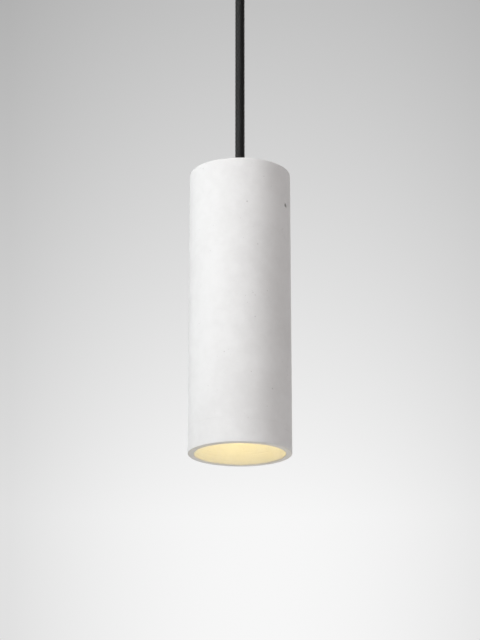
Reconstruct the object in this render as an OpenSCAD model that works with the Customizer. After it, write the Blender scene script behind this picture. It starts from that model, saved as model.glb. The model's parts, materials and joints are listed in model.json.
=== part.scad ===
// Pendant ceiling light: a tube shade cast in concrete hangs on a textile cable from a round canopy.
// Lengths are in millimetres. The origin is the centre of the ceiling face, +Z points up into the
// ceiling, and the light hangs down along -Z. +X runs through one of the canopy's side screws.

/* [Shade] */
// Outside diameter of the tube shade
shade_d = 70; // [66:1:90]
// Height of the tube shade
shade_h = 200; // [200:5:280]
// Thickness of the shade's side wall
shade_wall = 4.4; // [3:0.1:4.6]
// Thickness of the shade's closed top
shade_top_t = 12; // [9:0.5:12]
// Depth of the lamp's face above the shade's lower rim
lamp_recess = 45; // [20:1:45]

/* [Canopy] */
// Outside diameter of the ceiling canopy
canopy_d = 100; // [100:1:140]
// Height of the ceiling canopy
canopy_h = 25; // [25:1:40]
// Sheet thickness of the canopy
canopy_wall = 1.2; // [0.8:0.1:1.5]

/* [Ceiling bracket] */
// Distance between the middles of the two ceiling screw slots
slot_spacing = 60; // [60:1:66]
// Width of a ceiling screw slot
slot_w = 5; // [4:0.5:5.5]
// Length of a ceiling screw slot, end to end
slot_len = 14; // [10:1:14]

/* [Cable] */
// Outside diameter of the braided cable
cable_d = 6.6; // [6:0.1:6.8]
// Diameter of one insulated wire
wire_d = 1.8; // [1.4:0.1:2.2]

/* [Hidden] */
$fn = 96;

// Middle line of the free cable: grip mouth, two upper bends, two lower bends, collar
cord_route = [
    [0, 0, -45], [0, 0, -57], [0, 0, -77], [0, 0, -105],
    [0, 0, -135], [0, 0, -170], [0, 0, -184], [0, 0, -190]
];
mouth_z = cord_route[0][2];
upper_bend_z = [cord_route[1][2], cord_route[2][2]];
lower_bend_z = [cord_route[5][2], cord_route[6][2]];
collar_top_z = cord_route[7][2];
cord_sides = 12;
bend_gap = 0.3;
cable_r = cable_d / 2;
cable_hole_r = cable_r + 0.3;

// Gaps: a screw in its thread, a screw or tube in a clear hole, and a screw's tip below the ceiling
thread_gap = 0.05;
hole_gap = 0.2;
ceiling_gap = 0.3;
// How far a screw stands out past the sheet that it is threaded in
screw_reach = 2;
cut = 1;
m2_5_r = 1.25;
m3_r = 1.5;
m4_r = 2;
m10_r = 5;
hex_corner = 1 / cos(30);

// Ceiling canopy and bracket
canopy_r = canopy_d / 2;
canopy_in_r = canopy_r - canopy_wall;
canopy_edge = 3;
sheet = 1.5;
strip_w = 26;
ear_gap = 1.8;
ear_x = canopy_in_r - ear_gap;
ear_w = 14;
ear_h = 14;
side_screw_z = -8;
thumb_r = 4;
thumb_len = 4;
entry_r = 7;
earth_x = -15;

// Cord grip in the canopy
nipple_bore_r = 3.7;
nipple_above = 7;
washer_t = 0.8;
grip_nut_t = 3;
grip_nut_af = 14;
grip_r = 8;
grip_flange_h = 8;
grip_thread_r = 6;
grip_end_gap = 5;
collet_r = 4.5;
cap_floor_t = 3;
cap_floor_z = mouth_z + cap_floor_t;

// Terminal blocks: wires run along X, poles step along Y and the screws face -Z
pole_pitch = 8;
poles = [-1, 0, 1];
block_len = 16;
block_h = 11;
insert_half = 2.2;
insert_inset = 0.5;
insert_bore_r = 1.3;
clamp_x = 4.5;
clamp_r = 1.5;
clamp_well_r = 1.8;
mains_block_x = 15;
mains_block_z = -sheet - block_h / 2;

// Wires
wire_r = wire_d / 2;
wire_sides = 8;
wire_steps = 4;
core_offset = 1.6;
tail_top_z = -14;

// Shade hardware, in the shade's own frame with its top face at zero
collar_r = 8;
collar_washer_t = 0.8;
collar_h = 5.2;
collar_lip = 1.5;
shade_top_z = collar_top_z - collar_washer_t - collar_h;
shade_r = shade_d / 2;
shade_in_r = shade_r - shade_wall;
shade_edge = 1;
pad_t = 1.5;
pad_r = 12;
plate_r = 13;
nut_t = 5;
nut_af = 17;
pad_z = -shade_top_t;
plate_z = pad_z - pad_t;
nut_z = plate_z - pad_t;
web_z = nut_z - nut_t;
locknut_z = web_z - sheet;
relief_z = locknut_z - nut_t;
relief_r = 8.5;
relief_h = 17;
relief_depth = 8;
tube_low_z = relief_z - relief_depth;
relief_screw_drop = 13;
relief_screw_z = relief_z - relief_screw_drop;
tail_below_relief = 4;
tail_low_z = relief_z - relief_h - tail_below_relief;
lower_wire_drop = 8;
lower_block_z = tail_low_z - lower_wire_drop - block_len / 2;

// Lampholder, hung so that the lamp's face is recessed in the shade
lamp_len = 47.5;
lamp_gap = 0.5;
face_z = -shade_h + lamp_recess;
lamp_top_z = face_z + lamp_len;
holder_face_z = lamp_top_z + lamp_gap;
holder_body_h = 12;
holder_cover_h = 5;
holder_r = 15.5;
holder_split_z = holder_face_z + holder_body_h;
holder_top_z = holder_split_z + holder_cover_h;
holder_screw_x = 11;
lead_y = 9;
lead_r = 1.1;
strap_x = 19.5;
strap_w = 15;
foot_in_x = 6.5;
lower_earth_drop = 7;
lower_earth_z = lower_block_z - block_len / 2 - lower_earth_drop;

// Twist-lock pins on a 10 mm circle, and the slots that they turn in
pin_circle_r = 5;
pin_neck_r = 1.5;
pin_head_r = 2.5;
pin_neck_h = 4;
pin_head_h = 2.5;
slot_half = 1.8;
slot_end_r = 1.7;
entry_hole_r = 2.9;
front_plate_t = 3;
channel_half = 3.2;
channel_h = 7;
channel_margin = 38;
lock_angle = 90;
lamp_turn = 40;
contact_w = 4;
contact_t = 0.6;
contact_gap = 0.3;
contact_z = lamp_top_z + pin_neck_h + pin_head_h + contact_gap;

// Lamp
lamp_r = 25;
lamp_ring_h = 5;
lamp_neck_r = 14;
lamp_base_top_r = 11.5;
lamp_base_h = 12;
lamp_shell = 1.2;
lens_t = 2;
lens_r = 23;
board_t = 1.2;
board_r = 20;
board_depth = 9;
board_z = face_z + board_depth;
led_size = 3;
led_t = 0.6;
led_ring_r = 12;
led_count = 6;
driver_w = 16;
driver_h = 22;
driver_gap = 2;
driver_z = board_z + board_t + driver_gap;

// ---- Shared shapes ----

// Box between two opposite corners
module slab(low, high) {
    translate(low)
        cube(high - low);
}

// Upright round bar
module rod(r, low, high) {
    translate([0, 0, low])
        cylinder(r = r, h = high - low);
}

// Upright round bar with a bore
module ring(r_out, r_in, low, high) {
    difference() {
        rod(r_out, low, high);
        rod(r_in, low - cut, high + cut);
    }
}

// Hexagonal nut with its bore
module nut(flats, bore_r, low, high) {
    difference() {
        translate([0, 0, low])
            cylinder(r = flats / 2 * hex_corner, h = high - low, $fn = 6);
        rod(bore_r, low - cut, high + cut);
    }
}

// Round-ended slot along X
module slot_cut(length, r, low, high) {
    for (side = [-1, 1])
        translate([side * (length / 2 - r), 0, 0])
            rod(r, low, high);
    slab([-length / 2 + r, -r, low], [length / 2 - r, r, high]);
}

// Points of an arc
function arc(centre, r, from, to, steps) = [
    for (i = [0 : steps])
        let (angle = from + (to - from) * i / steps)
        centre + r * [cos(angle), sin(angle)]
];

// Places a sub-part that is drawn in the shade's own frame
module in_shade() {
    translate([0, 0, shade_top_z])
        children();
}

// Two copies, the second half a turn round Z
module opposite_pair() {
    for (turn = [0, 180])
        rotate(turn)
            children();
}

// ---- Tubes along a route ----

function unit(v) = v / norm(v);

// One ring of points round a centre, square to a direction
function ring_points(centre, along, r, sides, side_dir) =
    let (u = unit(cross(side_dir, along)), v = cross(unit(along), u))
    [for (k = [0 : sides - 1]) centre + r * (cos(360 * k / sides) * u + sin(360 * k / sides) * v)];

// Point on the smooth curve between b and c, with a and d as the neighbours
function curve_point(a, b, c, d, t) =
    0.5 * (2 * b + (c - a) * t + (2 * a - 5 * b + 4 * c - d) * t * t
        + (3 * b - a - 3 * c + d) * t * t * t);

function curve_slope(a, b, c, d, t) =
    0.5 * (c - a + 2 * (2 * a - 5 * b + 4 * c - d) * t + 3 * (3 * b - a - 3 * c + d) * t * t);

// Stations [centre, direction, radius] on the smooth curve through the points
function curve_stations(points, r, steps) =
    let (
        last = len(points) - 1,
        ends = concat([2 * points[0] - points[1]], points, [2 * points[last] - points[last - 1]])
    )
    [
        for (i = [0 : last - 1])
            for (k = [0 : (i == last - 1 ? steps : steps - 1)])
                [
                    curve_point(ends[i], ends[i + 1], ends[i + 2], ends[i + 3], k / steps),
                    curve_slope(ends[i], ends[i + 1], ends[i + 2], ends[i + 3], k / steps),
                    r
                ]
    ];

// One closed tube through its stations
module loft(stations, sides, side_dir) {
    last = len(stations) - 1;
    points = [for (s = stations) each ring_points(s[0], s[1], s[2], sides, side_dir)];
    walls = [
        for (i = [0 : last - 1])
            for (k = [0 : sides - 1])
                let (next = (k + 1) % sides, low = i * sides, high = low + sides)
                each [
                    [low + k, high + k, high + next],
                    [low + k, high + next, low + next]
                ]
    ];
    start_cap = [for (k = [0 : sides - 1]) k];
    end_cap = [for (k = [sides - 1 : -1 : 0]) last * sides + k];
    polyhedron(points, concat(walls, [start_cap], [end_cap]), convexity = 6);
}

// Insulated wire along a smooth route
module wire(points, r, side_dir) {
    loft(curve_stations(points, r, wire_steps), wire_sides, side_dir);
}

// Straight stretch of the free cable. At a bend the upper stretch ends in a dome round the bend's
// middle, and the lower one starts just below the dome, so that they turn without touching.
module cord_stretch(high, low, domed) {
    down = [0, 0, -1];
    dome = [for (angle = [0, 30, 55, 75]) [[0, 0, low] + cable_r * sin(angle) * down, down,
        cable_r * cos(angle)]];
    straight = [
        for (p = cord_route)
            if (p[2] < high && p[2] > low)
                [p, down, cable_r]
    ];
    end = domed ? dome : [[[0, 0, low], down, cable_r]];
    color("#1c1c1e")
        loft(concat([[[0, 0, high], down, cable_r]], straight, end), cord_sides, [0, 1, 0]);
}

function below_bend(z) = z - cable_r - bend_gap;

// ---- Ceiling fitting ----

// Folded steel strip that is screwed to the ceiling and holds the canopy by its two ears
module ceiling_bracket() {
    color("#c9cbcc")
        difference() {
            union() {
                slab([-ear_x, -strip_w / 2, -sheet], [ear_x, strip_w / 2, 0]);
                opposite_pair()
                    slab([ear_x - sheet, -ear_w / 2, -ear_h], [ear_x, ear_w / 2, -sheet]);
            }
            rod(entry_r, -sheet - cut, cut);
            opposite_pair()
                translate([slot_spacing / 2, 0, 0])
                    slot_cut(slot_len, slot_w / 2, -sheet - cut, cut);
            opposite_pair()
                translate([0, 0, side_screw_z])
                    rotate([0, 90, 0])
                        rod(m4_r + thread_gap, ear_x - sheet - cut, ear_x + cut);
            translate([earth_x, 0, 0])
                rod(m4_r + thread_gap, -sheet - cut, cut);
            for (side = [-1, 1])
                translate([mains_block_x, side * pole_pitch / 2, 0])
                    rod(m2_5_r + thread_gap, -sheet - cut, cut);
        }
}

// Spun steel cup that covers the bracket and the wiring
module canopy() {
    in_edge = canopy_edge - canopy_wall;
    hole_r = m10_r + hole_gap;
    profile = concat(
        [[hole_r, -canopy_h]],
        arc([canopy_r - canopy_edge, -canopy_h + canopy_edge], canopy_edge, -90, 0, 6),
        [[canopy_r, 0], [canopy_in_r, 0]],
        arc([canopy_in_r - in_edge, -canopy_h + canopy_edge], in_edge, 0, -90, 6),
        [[hole_r, -canopy_h + canopy_wall]]
    );
    color("#1b1b1c")
        difference() {
            rotate_extrude()
                polygon(profile);
            opposite_pair()
                translate([0, 0, side_screw_z])
                    rotate([0, 90, 0])
                        rod(m4_r + hole_gap, canopy_in_r - cut, canopy_r + cut);
        }
}

// Two thumb screws through the canopy's side into the bracket's ears
module canopy_side_screws() {
    color("#2a2a2b")
        opposite_pair()
            translate([0, 0, side_screw_z])
                rotate([0, 90, 0]) {
                    rod(m4_r, ear_x - sheet - screw_reach, canopy_r);
                    rod(thumb_r, canopy_r, canopy_r + thumb_len);
                }
}

// Threaded tube that carries the cable through the canopy
module grip_tube() {
    color("#b9a15a")
        ring(m10_r, nipple_bore_r, -canopy_h - grip_flange_h,
            -canopy_h + canopy_wall + nipple_above);
}

// Nut that clamps the grip tube to the canopy from inside
module grip_locknut() {
    low = -canopy_h + canopy_wall + washer_t;
    color("#c2c4c6")
        nut(grip_nut_af, m10_r + thread_gap, low, low + grip_nut_t);
}

// Shakeproof washer under the nut
module grip_toothed_washer() {
    low = -canopy_h + canopy_wall;
    tooth_gap = 1.2;
    color("#a9abad")
        difference() {
            ring(grip_r, m10_r + hole_gap, low, low + washer_t);
            for (turn = [0 : 30 : 330])
                rotate(turn)
                    slab([grip_r - tooth_gap, -tooth_gap / 2, low - cut],
                        [grip_r + cut, tooth_gap / 2, low + washer_t + cut]);
        }
}

// Grip body under the canopy: a flange on the threaded tube, and a threaded nose for the cap
module grip_body() {
    flange_z = -canopy_h - grip_flange_h;
    nose_z = mouth_z + grip_end_gap;
    color("#1f1f20")
        difference() {
            union() {
                rod(grip_r, flange_z, -canopy_h);
                rod(grip_thread_r, nose_z, flange_z);
            }
            rod(m10_r + thread_gap, flange_z, -canopy_h + cut);
            rod(collet_r + thread_gap, nose_z - cut, flange_z + cut);
        }
}

// Soft sleeve that the cap squeezes on to the cable
module grip_collet() {
    color("#e9e6da")
        ring(collet_r, cable_r + thread_gap, cap_floor_z, -canopy_h - grip_flange_h);
}

// Cap nut whose mouth the cable leaves
module grip_cap() {
    top_z = -canopy_h - grip_flange_h - hole_gap;
    nose_h = 3;
    nose_r = grip_r - 2;
    color("#1f1f20")
        rotate_extrude()
            polygon([
                [cable_hole_r, mouth_z], [nose_r, mouth_z], [grip_r, mouth_z + nose_h],
                [grip_r, top_z], [grip_thread_r + thread_gap, top_z],
                [grip_thread_r + thread_gap, cap_floor_z], [cable_hole_r, cap_floor_z]
            ]);
}

// ---- Terminal blocks ----

module block_body() {
    half = block_len / 2;
    half_w = len(poles) * pole_pitch / 2;
    channel = insert_half + thread_gap;
    difference() {
        slab([-half, -half_w, -block_h / 2], [half, half_w, block_h / 2]);
        for (pole = poles)
            translate([0, pole * pole_pitch, 0]) {
                slab([-half - cut, -channel, -channel], [half + cut, channel, channel]);
                for (side = [-1, 1])
                    translate([side * clamp_x, 0, 0])
                        rod(clamp_well_r, -block_h / 2 - cut, 0);
            }
        for (side = [-1, 1])
            translate([0, side * pole_pitch / 2, 0])
                rod(m2_5_r + thread_gap, -block_h / 2 - cut, block_h / 2 + cut);
    }
}

module block_inserts() {
    half = block_len / 2 - insert_inset;
    for (pole = poles)
        translate([0, pole * pole_pitch, 0])
            difference() {
                slab([-half, -insert_half, -insert_half], [half, insert_half, insert_half]);
                rotate([0, 90, 0])
                    rod(insert_bore_r, -half - cut, half + cut);
                for (side = [-1, 1])
                    translate([side * clamp_x, 0, 0])
                        rod(clamp_r + thread_gap, -insert_half - cut, 0);
            }
}

module block_screws() {
    head_recess = 0.6;
    head_z = -block_h / 2 + head_recess;
    tip_z = -insert_bore_r;
    slit = 0.5;
    for (pole = poles)
        for (side = [-1, 1])
            translate([side * clamp_x, pole * pole_pitch, 0])
                difference() {
                    rod(clamp_r, head_z, tip_z);
                    slab([-clamp_r - cut, -slit / 2, head_z - cut],
                        [clamp_r + cut, slit / 2, head_z + slit]);
                }
}

module at_mains_block() {
    translate([mains_block_x, 0, mains_block_z])
        children();
}

module mains_terminal_body() {
    color("#eceade")
        at_mains_block()
            block_body();
}

module mains_terminal_inserts() {
    color("#c8a951")
        at_mains_block()
            block_inserts();
}

module mains_terminal_screws() {
    color("#b8babb")
        at_mains_block()
            block_screws();
}

// Two small screws that hold the block to the bracket
module mains_terminal_fixings() {
    head_r = 2.2;
    head_h = 1.5;
    under_z = -sheet - block_h;
    color("#b8babb")
        for (side = [-1, 1])
            translate([mains_block_x, side * pole_pitch / 2, 0]) {
                rod(m2_5_r, under_z, -ceiling_gap);
                rod(head_r, under_z - head_h, under_z);
            }
}

// ---- Earth terminals: a ring on the Z axis under the plane z = 0, its barrel along +Y ----

ring_t = 0.8;
ring_r = 4.5;
barrel_r = 1.3;
barrel_start = 4.2;
barrel_end = 10;
barrel_gap = 0.1;
barrel_z = -barrel_gap - barrel_r;
screw_head_h = 2.6;
screw_head_r = 4;

module ring_terminal() {
    squeeze = 0.2;
    wire_inside = 4;
    difference() {
        union() {
            rod(ring_r, -ring_t, 0);
            translate([0, 0, barrel_z])
                rotate([-90, 0, 0])
                    rod(barrel_r, barrel_start, barrel_end);
        }
        rod(m4_r + hole_gap, -ring_t - cut, cut);
        translate([0, 0, barrel_z])
            rotate([-90, 0, 0])
                rod(wire_r - squeeze, barrel_end - wire_inside, barrel_end + cut);
    }
}

module ring_terminal_screw(tip_z) {
    slit = 1;
    rod(m4_r, -ring_t, tip_z);
    difference() {
        rod(screw_head_r, -ring_t - screw_head_h, -ring_t);
        slab([-screw_head_r - cut, -slit / 2, -ring_t - screw_head_h - cut],
            [screw_head_r + cut, slit / 2, -ring_t - screw_head_h + slit]);
    }
}

module earth_ring() {
    color("#d7d9da")
        translate([earth_x, 0, -sheet])
            ring_terminal();
}

module earth_screw() {
    color("#b59a4a")
        translate([earth_x, 0, -sheet])
            ring_terminal_screw(sheet - ceiling_gap);
}

// ---- Wiring in the canopy ----

block_in_x = mains_block_x - block_len / 2;
block_out_x = mains_block_x + block_len / 2;
core_start = [for (turn = [0, 120, 240]) core_offset * [cos(turn), sin(turn), 0]];
// Straight length of each wire where it leaves the cable
core_straight = 2.5;

// Cable inside the canopy and the grip, stripped at its top
module cable_tail_top() {
    color("#1c1c1e")
        rod(cable_r, mouth_z, tail_top_z);
}

module top_side_wire(core, side) {
    pole_y = side * pole_pitch;
    wire([
        core_start[core] + [0, 0, tail_top_z],
        core_start[core] + [0, 0, tail_top_z + core_straight],
        [0, pole_y / 2, mains_block_z - 1],
        [block_in_x / 2, pole_y, mains_block_z],
        [block_in_x, pole_y, mains_block_z]
    ], wire_r, [0, side, 0.3]);
}

module top_wire_live() {
    color("#6b3f22")
        top_side_wire(2, -1);
}

module top_wire_neutral() {
    color("#2b5fa8")
        top_side_wire(1, 1);
}

module top_wire_earth() {
    color("#7fa52c")
        wire([
            core_start[0] + [0, 0, tail_top_z],
            core_start[0] + [0, 0, tail_top_z + core_straight],
            [block_in_x - 4, 0, mains_block_z - 1],
            [block_in_x - 2, 0, mains_block_z],
            [block_in_x, 0, mains_block_z]
        ], wire_r, [0, 1, 0]);
}

// Lead from the block's earth pole to the bracket, in a loop beside the cord grip
module earth_jumper() {
    loop_y = 18;
    low_z = mains_block_z - 3;
    ring_z = -sheet + barrel_z;
    color("#7fa52c")
        wire([
            [block_out_x, 0, mains_block_z],
            [block_out_x + 3, 0, mains_block_z],
            [block_out_x + 5, pole_pitch - 1, low_z],
            [block_out_x, loop_y - 2, low_z - 1],
            [block_in_x + 1, loop_y, low_z],
            [-6, loop_y, mains_block_z],
            [earth_x + 1, loop_y - 2, ring_z - 1],
            [earth_x, barrel_end + 3, ring_z],
            [earth_x, barrel_end, ring_z]
        ], wire_r, [0, 0, 1]);
}

// ---- Free cable ----

module cord_neck() {
    cord_stretch(mouth_z, upper_bend_z[0], true);
}

module cord_link_top() {
    cord_stretch(below_bend(upper_bend_z[0]), upper_bend_z[1], true);
}

module cord_drop() {
    cord_stretch(below_bend(upper_bend_z[1]), lower_bend_z[0], true);
}

module cord_link_bottom() {
    cord_stretch(below_bend(lower_bend_z[0]), lower_bend_z[1], true);
}

module cord_foot() {
    cord_stretch(below_bend(lower_bend_z[1]), collar_top_z, false);
}

// Cable inside the collar, the hanger tube and the strain relief
module cable_tail_bottom() {
    color("#1c1c1e")
        in_shade()
            rod(cable_r, tail_low_z, collar_top_z - shade_top_z);
}

// ---- Shade ----

// Cast tube with a closed top, open below
module shade() {
    hole_r = m10_r + hole_gap;
    profile = concat(
        [[hole_r, 0]],
        arc([shade_r - shade_edge, -shade_edge], shade_edge, 90, 0, 4),
        [[shade_r, -shade_h + shade_edge], [shade_r - shade_edge / 2, -shade_h]],
        [[shade_in_r + shade_edge / 2, -shade_h], [shade_in_r, -shade_h + shade_edge]],
        [[shade_in_r, -shade_top_t], [hole_r, -shade_top_t]]
    );
    color("#e6e4e1")
        in_shade()
            rotate_extrude()
                polygon(profile);
}

// Low cap nut on top of the shade, with a rounded mouth for the cable
module collar() {
    low = collar_washer_t;
    high = collar_washer_t + collar_h;
    chamfer = 1;
    color("#1f1f20")
        in_shade()
            rotate_extrude()
                polygon([
                    [m10_r + thread_gap, low], [collar_r, low], [collar_r, high - chamfer],
                    [collar_r - chamfer, high], [cable_hole_r, high],
                    [cable_hole_r, high - collar_lip], [m10_r + thread_gap, high - collar_lip]
                ]);
}

module collar_washer() {
    color("#262626")
        in_shade()
            ring(collar_r + 1, m10_r + hole_gap, 0, collar_washer_t);
}

// Threaded tube through the shade's top that carries everything inside the shade
module hanger_tube() {
    color("#b9a15a")
        in_shade()
            ring(m10_r, nipple_bore_r, tube_low_z, collar_washer_t + collar_h - collar_lip);
}

module inner_rubber_washer() {
    color("#262626")
        in_shade()
            ring(pad_r, m10_r + hole_gap, plate_z, pad_z);
}

module inner_steel_washer() {
    color("#c2c4c6")
        in_shade()
            ring(plate_r, m10_r + hole_gap, nut_z, plate_z);
}

module inner_nut() {
    color("#c2c4c6")
        in_shade()
            nut(nut_af, m10_r + thread_gap, web_z, nut_z);
}

// Folded strap that hangs the lampholder from the hanger tube
module hanger_strap() {
    color("#c9cbcc")
        in_shade()
            difference() {
                union() {
                    slab([-strap_x, -strap_w / 2, locknut_z], [strap_x, strap_w / 2, web_z]);
                    opposite_pair() {
                        slab([strap_x - sheet, -strap_w / 2, holder_top_z],
                            [strap_x, strap_w / 2, locknut_z]);
                        slab([foot_in_x, -strap_w / 2, holder_top_z],
                            [strap_x - sheet, strap_w / 2, holder_top_z + sheet]);
                    }
                }
                rod(m10_r + hole_gap, locknut_z - cut, web_z + cut);
                opposite_pair()
                    translate([holder_screw_x, 0, 0])
                        rod(m3_r + hole_gap, holder_top_z - cut, holder_top_z + sheet + cut);
                translate([0, 0, lower_earth_z])
                    rotate([0, 90, 0])
                        rod(m4_r + thread_gap, strap_x - sheet - cut, strap_x + cut);
            }
}

module strap_locknut() {
    color("#c2c4c6")
        in_shade()
            nut(nut_af, m10_r + thread_gap, relief_z, locknut_z);
}

// Nylon cord grip at the tube's lower end
module strain_relief() {
    floor_z = relief_z - relief_h;
    color("#ece9df")
        in_shade()
            difference() {
                rod(relief_r, floor_z, relief_z);
                rod(m10_r + thread_gap, tube_low_z, relief_z + cut);
                rod(cable_r + thread_gap, floor_z - cut, relief_z);
                translate([0, 0, relief_screw_z])
                    rotate([90, 0, 0])
                        rod(m4_r + thread_gap, 0, relief_r + cut);
            }
}

// Nylon screw that presses on the cable
module strain_relief_screw() {
    slit = 0.8;
    sunk = 0.5;
    head_z = relief_r - sunk;
    color("#ece9df")
        in_shade()
            translate([0, 0, relief_screw_z])
                rotate([90, 0, 0])
                    difference() {
                        rod(m4_r, cable_r + thread_gap, head_z);
                        slab([-m4_r - cut, -slit / 2, head_z - slit],
                            [m4_r + cut, slit / 2, relief_r + cut]);
                    }
}

// The lower block stands on end: wires along Z, poles along X, screws facing -Y
module at_lower_block() {
    in_shade()
        translate([0, 0, lower_block_z])
            rotate([0, -90, -90])
                children();
}

module lower_terminal_body() {
    color("#eceade")
        at_lower_block()
            block_body();
}

module lower_terminal_inserts() {
    color("#c8a951")
        at_lower_block()
            block_inserts();
}

module lower_terminal_screws() {
    color("#b8babb")
        at_lower_block()
            block_screws();
}

// ---- Wiring in the shade ----

block_top_z = lower_block_z + block_len / 2;
block_low_z = lower_block_z - block_len / 2;

module lower_side_wire(start, side) {
    pole_x = side * pole_pitch;
    bend_z = tail_low_z - 1.5;
    in_shade()
        wire([
            start + [0, 0, tail_low_z],
            start + [0, 0, bend_z],
            [pole_x, 0, block_top_z + core_straight],
            [pole_x, 0, block_top_z]
        ], wire_r, [0, 1, 0]);
}

module lower_wire_live() {
    color("#6b3f22")
        lower_side_wire(core_offset * [-cos(30), -sin(30), 0], -1);
}

module lower_wire_neutral() {
    color("#2b5fa8")
        lower_side_wire(core_offset * [cos(30), -sin(30), 0], 1);
}

module lower_wire_earth() {
    color("#7fa52c")
        lower_side_wire([0, core_offset, 0], 0);
}

// Heatproof lead from the lower block into the lampholder
module holder_lead(side) {
    color("#e8e2d2")
        in_shade()
            wire([
                [side * pole_pitch, 0, block_low_z],
                [side * pole_pitch, 0, block_low_z - 3],
                [side * pole_pitch / 2, side * lead_y * 0.7, holder_top_z + 6],
                [0, side * lead_y, holder_top_z + 3],
                [0, side * lead_y, holder_split_z]
            ], lead_r, [1, 0, 0]);
}

module holder_lead_live() {
    holder_lead(-1);
}

module holder_lead_neutral() {
    holder_lead(1);
}

module at_strap_earth() {
    in_shade()
        translate([strap_x - sheet, 0, lower_earth_z])
            rotate([180, -90, 0])
                children();
}

module strap_earth_ring() {
    color("#d7d9da")
        at_strap_earth()
            ring_terminal();
}

module strap_earth_screw() {
    color("#b59a4a")
        at_strap_earth()
            ring_terminal_screw(sheet + screw_reach);
}

// Lead from the lower block's earth pole to the strap
module strap_earth_lead() {
    barrel_x = strap_x - sheet + barrel_z;
    bend_y = -barrel_end - 3;
    color("#7fa52c")
        in_shade()
            wire([
                [0, 0, block_low_z],
                [0, 0, block_low_z - 2],
                [2, -5, block_low_z - 4.5],
                [pole_pitch, bend_y, lower_earth_z + 1],
                [barrel_x - 2, bend_y - 2, lower_earth_z],
                [barrel_x, bend_y, lower_earth_z],
                [barrel_x, -barrel_end, lower_earth_z]
            ], wire_r, [1, 1, 0.4]);
}

// ---- Lampholder ----

// One of the two paths in which a lamp pin enters and turns
module pin_path() {
    entry_angle = lock_angle - lamp_turn;
    channel_z = holder_face_z + front_plate_t;
    rotate(entry_angle)
        translate([pin_circle_r, 0, 0])
            rod(entry_hole_r, holder_face_z - cut, channel_z + cut);
    rotate(lock_angle)
        translate([pin_circle_r, 0, 0])
            rod(slot_end_r, holder_face_z - cut, channel_z + cut);
    rotate(entry_angle)
        rotate_extrude(angle = lamp_turn)
            translate([pin_circle_r - slot_half, holder_face_z - cut])
                square([2 * slot_half, front_plate_t + 2 * cut]);
    rotate(entry_angle - channel_margin)
        rotate_extrude(angle = lamp_turn + 2 * channel_margin)
            translate([pin_circle_r - channel_half, channel_z])
                square([2 * channel_half, channel_h]);
}

module lampholder_body() {
    head_clear_r = 3;
    pocket_in = 6;
    pocket_out = 10.3;
    pocket_half = contact_w / 2 + 0.5;
    color("#f1efe8")
        in_shade()
            difference() {
                rod(holder_r, holder_face_z, holder_split_z);
                opposite_pair() {
                    pin_path();
                    slab([-pocket_half, pocket_in, contact_z - 1],
                        [pocket_half, pocket_out, holder_split_z + cut]);
                    translate([holder_screw_x, 0, 0]) {
                        rod(m3_r + hole_gap, holder_face_z - cut, holder_split_z + cut);
                        rod(head_clear_r, holder_face_z - cut, holder_face_z + front_plate_t);
                    }
                }
            }
}

module lampholder_cover() {
    lead_hole_r = lead_r + 0.3;
    color("#f1efe8")
        in_shade()
            difference() {
                rod(holder_r, holder_split_z, holder_top_z);
                opposite_pair() {
                    translate([0, lead_y, 0])
                        rod(lead_hole_r, holder_split_z - cut, holder_top_z + cut);
                    translate([holder_screw_x, 0, 0])
                        rod(m3_r + hole_gap, holder_split_z - cut, holder_top_z + cut);
                }
            }
}

// Spring contacts that the pin heads turn under
module lampholder_contacts() {
    leaf_in = 2.6;
    color("#c9b27a")
        in_shade()
            opposite_pair() {
                slab([-contact_w / 2, leaf_in, contact_z],
                    [contact_w / 2, lead_y, contact_z + contact_t]);
                slab([-contact_w / 2, lead_y - contact_t / 2, contact_z],
                    [contact_w / 2, lead_y + contact_t / 2, holder_split_z]);
            }
}

module lampholder_screws() {
    head_r = 2.75;
    head_h = 2.4;
    shoulder_z = holder_face_z + front_plate_t;
    tip_z = holder_top_z + sheet + 3.5;
    color("#b8babb")
        in_shade()
            opposite_pair()
                translate([holder_screw_x, 0, 0]) {
                    rod(m3_r, shoulder_z, tip_z);
                    rod(head_r, shoulder_z - head_h, shoulder_z);
                }
}

module lampholder_nuts() {
    m3_flats = 5.5;
    m3_nut_t = 2.4;
    color("#b8babb")
        in_shade()
            opposite_pair()
                translate([holder_screw_x, 0, 0])
                    nut(m3_flats, m3_r + thread_gap, holder_top_z + sheet,
                        holder_top_z + sheet + m3_nut_t);
}

// ---- Lamp ----

module lamp_base() {
    low_z = lamp_top_z - lamp_base_h;
    rim_h = 2;
    boss_h = 4;
    cap_t = 3;
    color("#f3f2ee")
        in_shade()
            difference() {
                rotate_extrude()
                    polygon([
                        [0, low_z], [lamp_neck_r, low_z], [lamp_neck_r, low_z + rim_h],
                        [lamp_base_top_r, lamp_top_z - boss_h], [lamp_base_top_r, lamp_top_z],
                        [0, lamp_top_z]
                    ]);
                rod(lamp_base_top_r - 2 * lamp_shell, low_z - cut, lamp_top_z - cap_t);
            }
}

module lamp_pins() {
    neck_top = lamp_top_z + pin_neck_h;
    color("#c4c6c8")
        in_shade()
            opposite_pair()
                translate([0, pin_circle_r, 0]) {
                    rod(pin_neck_r, lamp_top_z, neck_top);
                    rod(pin_head_r, neck_top, neck_top + pin_head_h);
                }
}

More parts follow.
